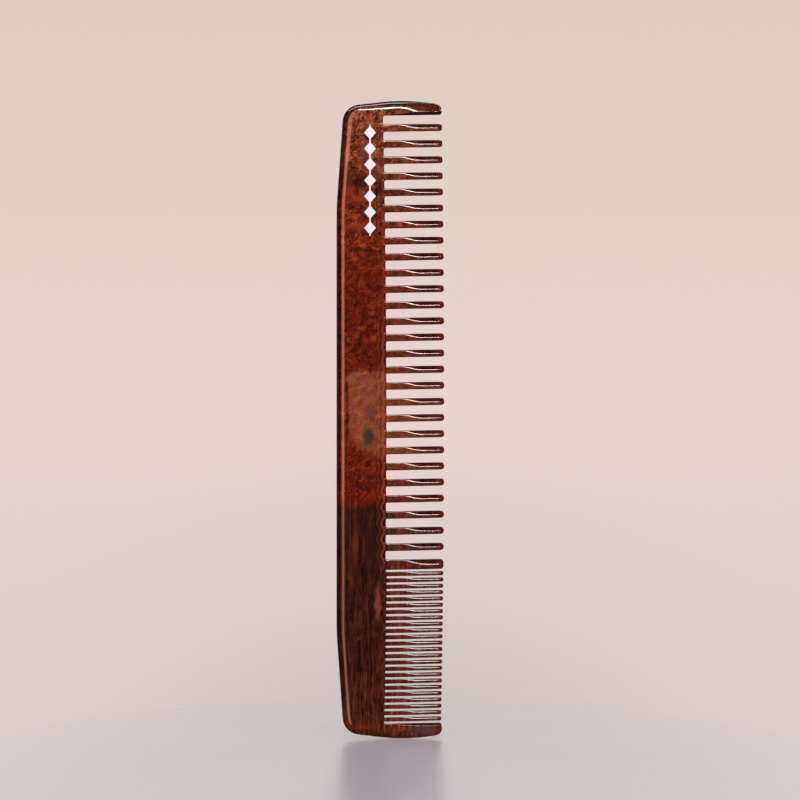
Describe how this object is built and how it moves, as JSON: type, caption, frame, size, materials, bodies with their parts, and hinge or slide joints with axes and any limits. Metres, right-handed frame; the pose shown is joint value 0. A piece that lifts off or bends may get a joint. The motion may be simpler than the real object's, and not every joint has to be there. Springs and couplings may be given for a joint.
{
  "type": "beard comb",
  "caption": "Flat pocket-style beard comb with a rounded back, a coarse row and a fine row of pointed teeth, and a thicker guard tooth at each end.",
  "frame": {"origin": "centre of the tail end: the lowest point of the comb, under the middle of its width and thickness", "axes": "+Z along the comb from its tail end (fine teeth) to its head end (coarse teeth); +X across the comb from the back edge to the tooth tips; -Y out of the printed front face"},
  "size_m": [0.0313, 0.0043, 0.1848],
  "materials": {
    "tortoiseshell_acetate": "hand-polished tortoiseshell cellulose acetate, dark red-brown with amber and black mottling",
    "white_ink": "thin white printed ink"
  },
  "bodies": {
    "root": {"back": "tortoiseshell_acetate", "head_guard": "tortoiseshell_acetate", "tail_guard": "tortoiseshell_acetate", "divider_tooth": "tortoiseshell_acetate", "coarse_tooth_01": "tortoiseshell_acetate", "coarse_tooth_02": "tortoiseshell_acetate", "coarse_tooth_03": "tortoiseshell_acetate", "coarse_tooth_04": "tortoiseshell_acetate", "coarse_tooth_05": "tortoiseshell_acetate", "coarse_tooth_06": "tortoiseshell_acetate", "coarse_tooth_07": "tortoiseshell_acetate", "coarse_tooth_08": "tortoiseshell_acetate", "coarse_tooth_09": "tortoiseshell_acetate", "coarse_tooth_10": "tortoiseshell_acetate", "coarse_tooth_11": "tortoiseshell_acetate", "coarse_tooth_12": "tortoiseshell_acetate", "coarse_tooth_13": "tortoiseshell_acetate", "coarse_tooth_14": "tortoiseshell_acetate", "coarse_tooth_15": "tortoiseshell_acetate", "coarse_tooth_16": "tortoiseshell_acetate", "coarse_tooth_17": "tortoiseshell_acetate", "coarse_tooth_18": "tortoiseshell_acetate", "coarse_tooth_19": "tortoiseshell_acetate", "coarse_tooth_20": "tortoiseshell_acetate", "coarse_tooth_21": "tortoiseshell_acetate", "coarse_tooth_22": "tortoiseshell_acetate", "coarse_tooth_23": "tortoiseshell_acetate", "coarse_tooth_24": "tortoiseshell_acetate", "coarse_tooth_25": "tortoiseshell_acetate", "coarse_tooth_26": "tortoiseshell_acetate", "coarse_tooth_27": "tortoiseshell_acetate", "fine_tooth_01": "tortoiseshell_acetate", "fine_tooth_02": "tortoiseshell_acetate", "fine_tooth_03": "tortoiseshell_acetate", "fine_tooth_04": "tortoiseshell_acetate", "fine_tooth_05": "tortoiseshell_acetate", "fine_tooth_06": "tortoiseshell_acetate", "fine_tooth_07": "tortoiseshell_acetate", "fine_tooth_08": "tortoiseshell_acetate", "fine_tooth_09": "tortoiseshell_acetate", "fine_tooth_10": "tortoiseshell_acetate", "fine_tooth_11": "tortoiseshell_acetate", "fine_tooth_12": "tortoiseshell_acetate", "fine_tooth_13": "tortoiseshell_acetate", "fine_tooth_14": "tortoiseshell_acetate", "fine_tooth_15": "tortoiseshell_acetate", "fine_tooth_16": "tortoiseshell_acetate", "fine_tooth_17": "tortoiseshell_acetate", "fine_tooth_18": "tortoiseshell_acetate", "fine_tooth_19": "tortoiseshell_acetate", "fine_tooth_20": "tortoiseshell_acetate", "fine_tooth_21": "tortoiseshell_acetate", "fine_tooth_22": "tortoiseshell_acetate", "fine_tooth_23": "tortoiseshell_acetate", "fine_tooth_24": "tortoiseshell_acetate", "printed_mark": "white_ink"}
  },
  "joints": []
}
